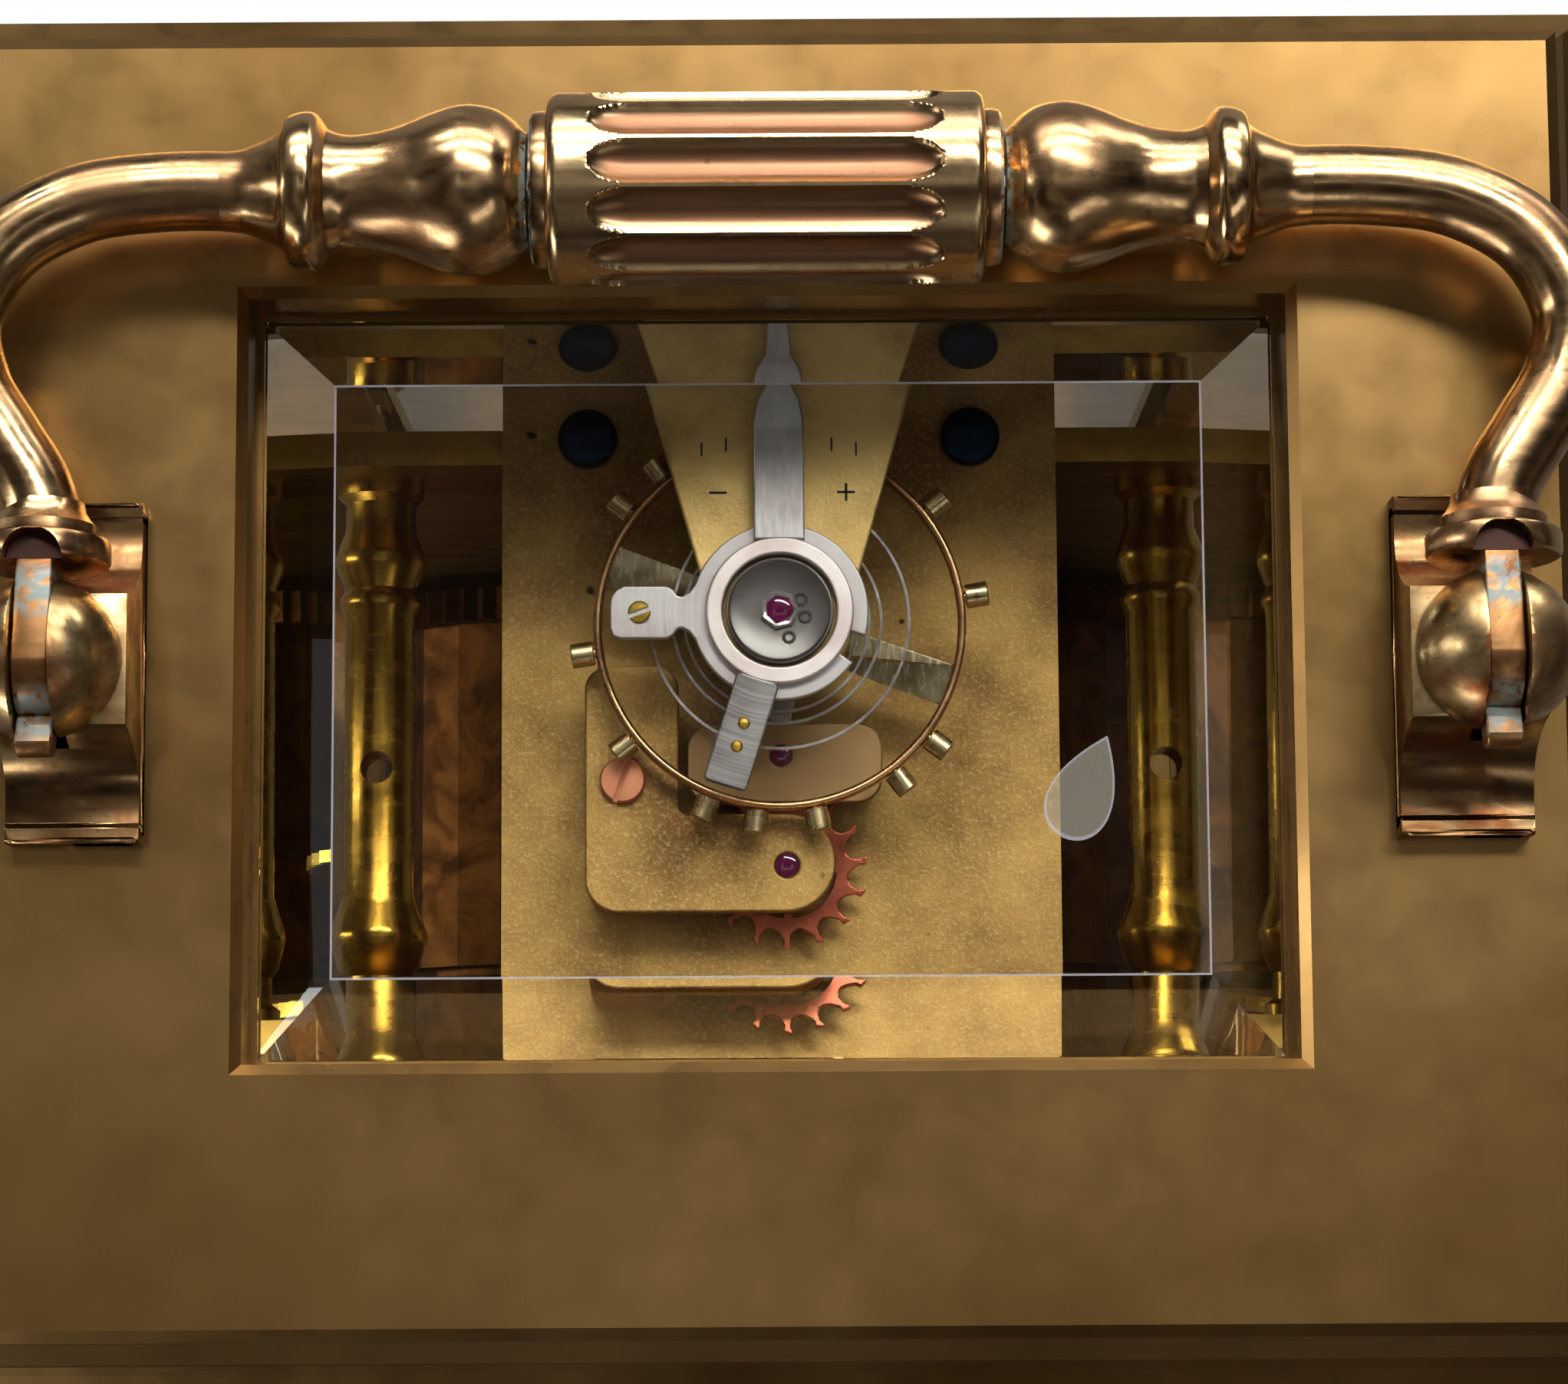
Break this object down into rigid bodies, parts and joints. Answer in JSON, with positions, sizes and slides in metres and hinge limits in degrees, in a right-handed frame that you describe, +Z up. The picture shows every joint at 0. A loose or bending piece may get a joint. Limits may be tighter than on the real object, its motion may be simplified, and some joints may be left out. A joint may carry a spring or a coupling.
{
  "type": "carriage clock",
  "caption": "Brass carriage clock with a bevelled top glass over its platform escapement, a pierced dial mask and a folding handle with a fluted grip.",
  "frame": {"origin": "middle of the underside of the base", "axes": "+Z up, the dial faces -Y, +X to the right of a person facing the dial"},
  "size_m": [0.084, 0.071, 0.1478],
  "materials": {
    "polished_brass": "polished",
    "gilt_brass": "matt gilt",
    "steel": "polished",
    "blued_steel": "blued",
    "bevelled_glass": "polished",
    "enamel": "white enamel"
  },
  "bodies": {
    "case": {"base_plinth": "polished_brass", "base_plate": "polished_brass", "top_frame": "polished_brass", "column_front_left": "polished_brass", "column_front_right": "polished_brass", "column_back_left": "polished_brass", "column_back_right": "polished_brass", "front_plate": "polished_brass", "back_plate": "polished_brass", "top_pillar_left": "polished_brass", "top_pillar_right": "polished_brass", "bottom_pillar_left": "polished_brass", "bottom_pillar_right": "polished_brass", "escape_bridge_screw": "polished_brass", "handle_bracket_left": "polished_brass", "handle_bracket_right": "polished_brass", "fret_mask": "gilt_brass", "platform_plate": "gilt_brass", "escape_bridge": "gilt_brass", "pallet_cock": "gilt_brass", "balance_cock": "gilt_brass", "hairspring": "steel", "balance_end_cap": "steel", "stud_carrier": "steel", "handle_pin_left": "steel", "handle_pin_right": "steel", "platform_screw_back_left": "blued_steel", "platform_screw_back_right": "blued_steel", "platform_screw_front_left": "blued_steel", "platform_screw_front_right": "blued_steel", "top_glass": "bevelled_glass", "front_glass": "bevelled_glass", "left_glass": "bevelled_glass", "right_glass": "bevelled_glass", "dial": "enamel"},
    "handle": {"handle_grip": "polished_brass", "handle_tie_rod": "steel", "handle_arm_left": "polished_brass", "handle_arm_right": "polished_brass"},
    "door": {"door_frame": "polished_brass", "door_glass": "bevelled_glass"},
    "catch": {"door_knob": "polished_brass"},
    "minute": {"minute_hand": "blued_steel", "cannon_pinion": "steel"},
    "motion": {"minute_wheel": "polished_brass"},
    "hour": {"hour_wheel": "polished_brass", "hour_hand": "blued_steel"},
    "going_barrel": {"going_barrel": "polished_brass"},
    "strike_barrel": {"strike_barrel": "polished_brass"},
    "going_arbor": {"going_winding_arbor": "steel"},
    "strike_arbor": {"strike_winding_arbor": "steel"},
    "centre": {"centre_wheel": "polished_brass"},
    "third": {"third_wheel": "polished_brass"},
    "contrate": {"contrate_wheel": "polished_brass"},
    "escape": {"escape_wheel": "polished_brass"},
    "lever": {"pallet_lever": "steel"},
    "balance": {"balance_wheel": "polished_brass", "balance_staff": "steel"},
    "regulator": {"regulator": "steel"}
  },
  "joints": [
    {"name": "handle_fold", "type": "hinge", "parent": "case", "child": "handle", "pos_m": [0, 0, 0.1442], "axis": [1, 0, 0], "range_deg": [0, 93]},
    {"name": "door_swing", "type": "hinge", "parent": "case", "child": "door", "pos_m": [0.0257, 0.0249, 0], "axis": [0, 0, -1], "range_deg": [0, 96]},
    {"name": "door_catch_turn", "type": "hinge", "parent": "door", "child": "catch", "pos_m": [-0.0252, 0.0249, 0.069], "axis": [0, 1, 0], "range_deg": [-90, 0]},
    {"name": "minute_hand_turn", "type": "hinge", "parent": "case", "child": "minute", "pos_m": [0, 0, 0.079], "axis": [0, 1, 0], "continuous": true},
    {"name": "minute_wheel_turn", "type": "hinge", "parent": "case", "child": "motion", "pos_m": [0, 0, 0.0718], "axis": [0, 1, 0], "continuous": true},
    {"name": "hour_hand_turn", "type": "hinge", "parent": "case", "child": "hour", "pos_m": [0, 0, 0.079], "axis": [0, 1, 0], "continuous": true},
    {"name": "contrate_turn", "type": "hinge", "parent": "case", "child": "contrate", "pos_m": [0.0008, 0, 0.1046], "axis": [0, 1, 0], "continuous": true},
    {"name": "third_turn", "type": "hinge", "parent": "case", "child": "third", "pos_m": [-0.00079, 0, 0.09221], "axis": [0, 1, 0], "continuous": true},
    {"name": "centre_turn", "type": "hinge", "parent": "case", "child": "centre", "pos_m": [0, 0, 0.079], "axis": [0, 1, 0], "continuous": true},
    {"name": "going_barrel_turn", "type": "hinge", "parent": "case", "child": "going_barrel", "pos_m": [0.0126, 0, 0.0729], "axis": [0, 1, 0], "continuous": true},
    {"name": "escape_turn", "type": "hinge", "parent": "case", "child": "escape", "pos_m": [0.0008, -0.0079, 0], "axis": [0, 0, 1], "continuous": true},
    {"name": "strike_barrel_turn", "type": "hinge", "parent": "case", "child": "strike_barrel", "pos_m": [-0.0135, 0, 0.0729], "axis": [0, 1, 0], "continuous": true},
    {"name": "going_wind", "type": "hinge", "parent": "case", "child": "going_arbor", "pos_m": [0.0126, 0, 0.0729], "axis": [0, 1, 0], "continuous": true},
    {"name": "strike_wind", "type": "hinge", "parent": "case", "child": "strike_arbor", "pos_m": [-0.0135, 0, 0.0729], "axis": [0, 1, 0], "continuous": true},
    {"name": "balance_swing", "type": "hinge", "parent": "case", "child": "balance", "pos_m": [0.0005, 0.004, 0], "axis": [0, 0, 1], "range_deg": [-220, 220], "stiffness_Nm_per_rad": 0.000004},
    {"name": "lever_rock", "type": "hinge", "parent": "case", "child": "lever", "pos_m": [0.0005, -0.0023, 0], "axis": [0, 0, 1], "range_deg": [-5, 5]},
    {"name": "regulator_turn", "type": "hinge", "parent": "case", "child": "regulator", "pos_m": [0.0005, 0.004, 0], "axis": [0, 0, 1], "range_deg": [-12, 12]}
  ],
  "couplings": [
    {"joint": "minute_wheel_turn", "follows": "minute_hand_turn", "ratio": -0.33333},
    {"joint": "hour_hand_turn", "follows": "minute_hand_turn", "ratio": 0.083333},
    {"joint": "third_turn", "follows": "contrate_turn", "ratio": -0.13333},
    {"joint": "centre_turn", "follows": "contrate_turn", "ratio": 0.016667},
    {"joint": "going_barrel_turn", "follows": "contrate_turn", "ratio": -0.0027778},
    {"joint": "escape_turn", "follows": "contrate_turn", "ratio": 8}
  ]
}
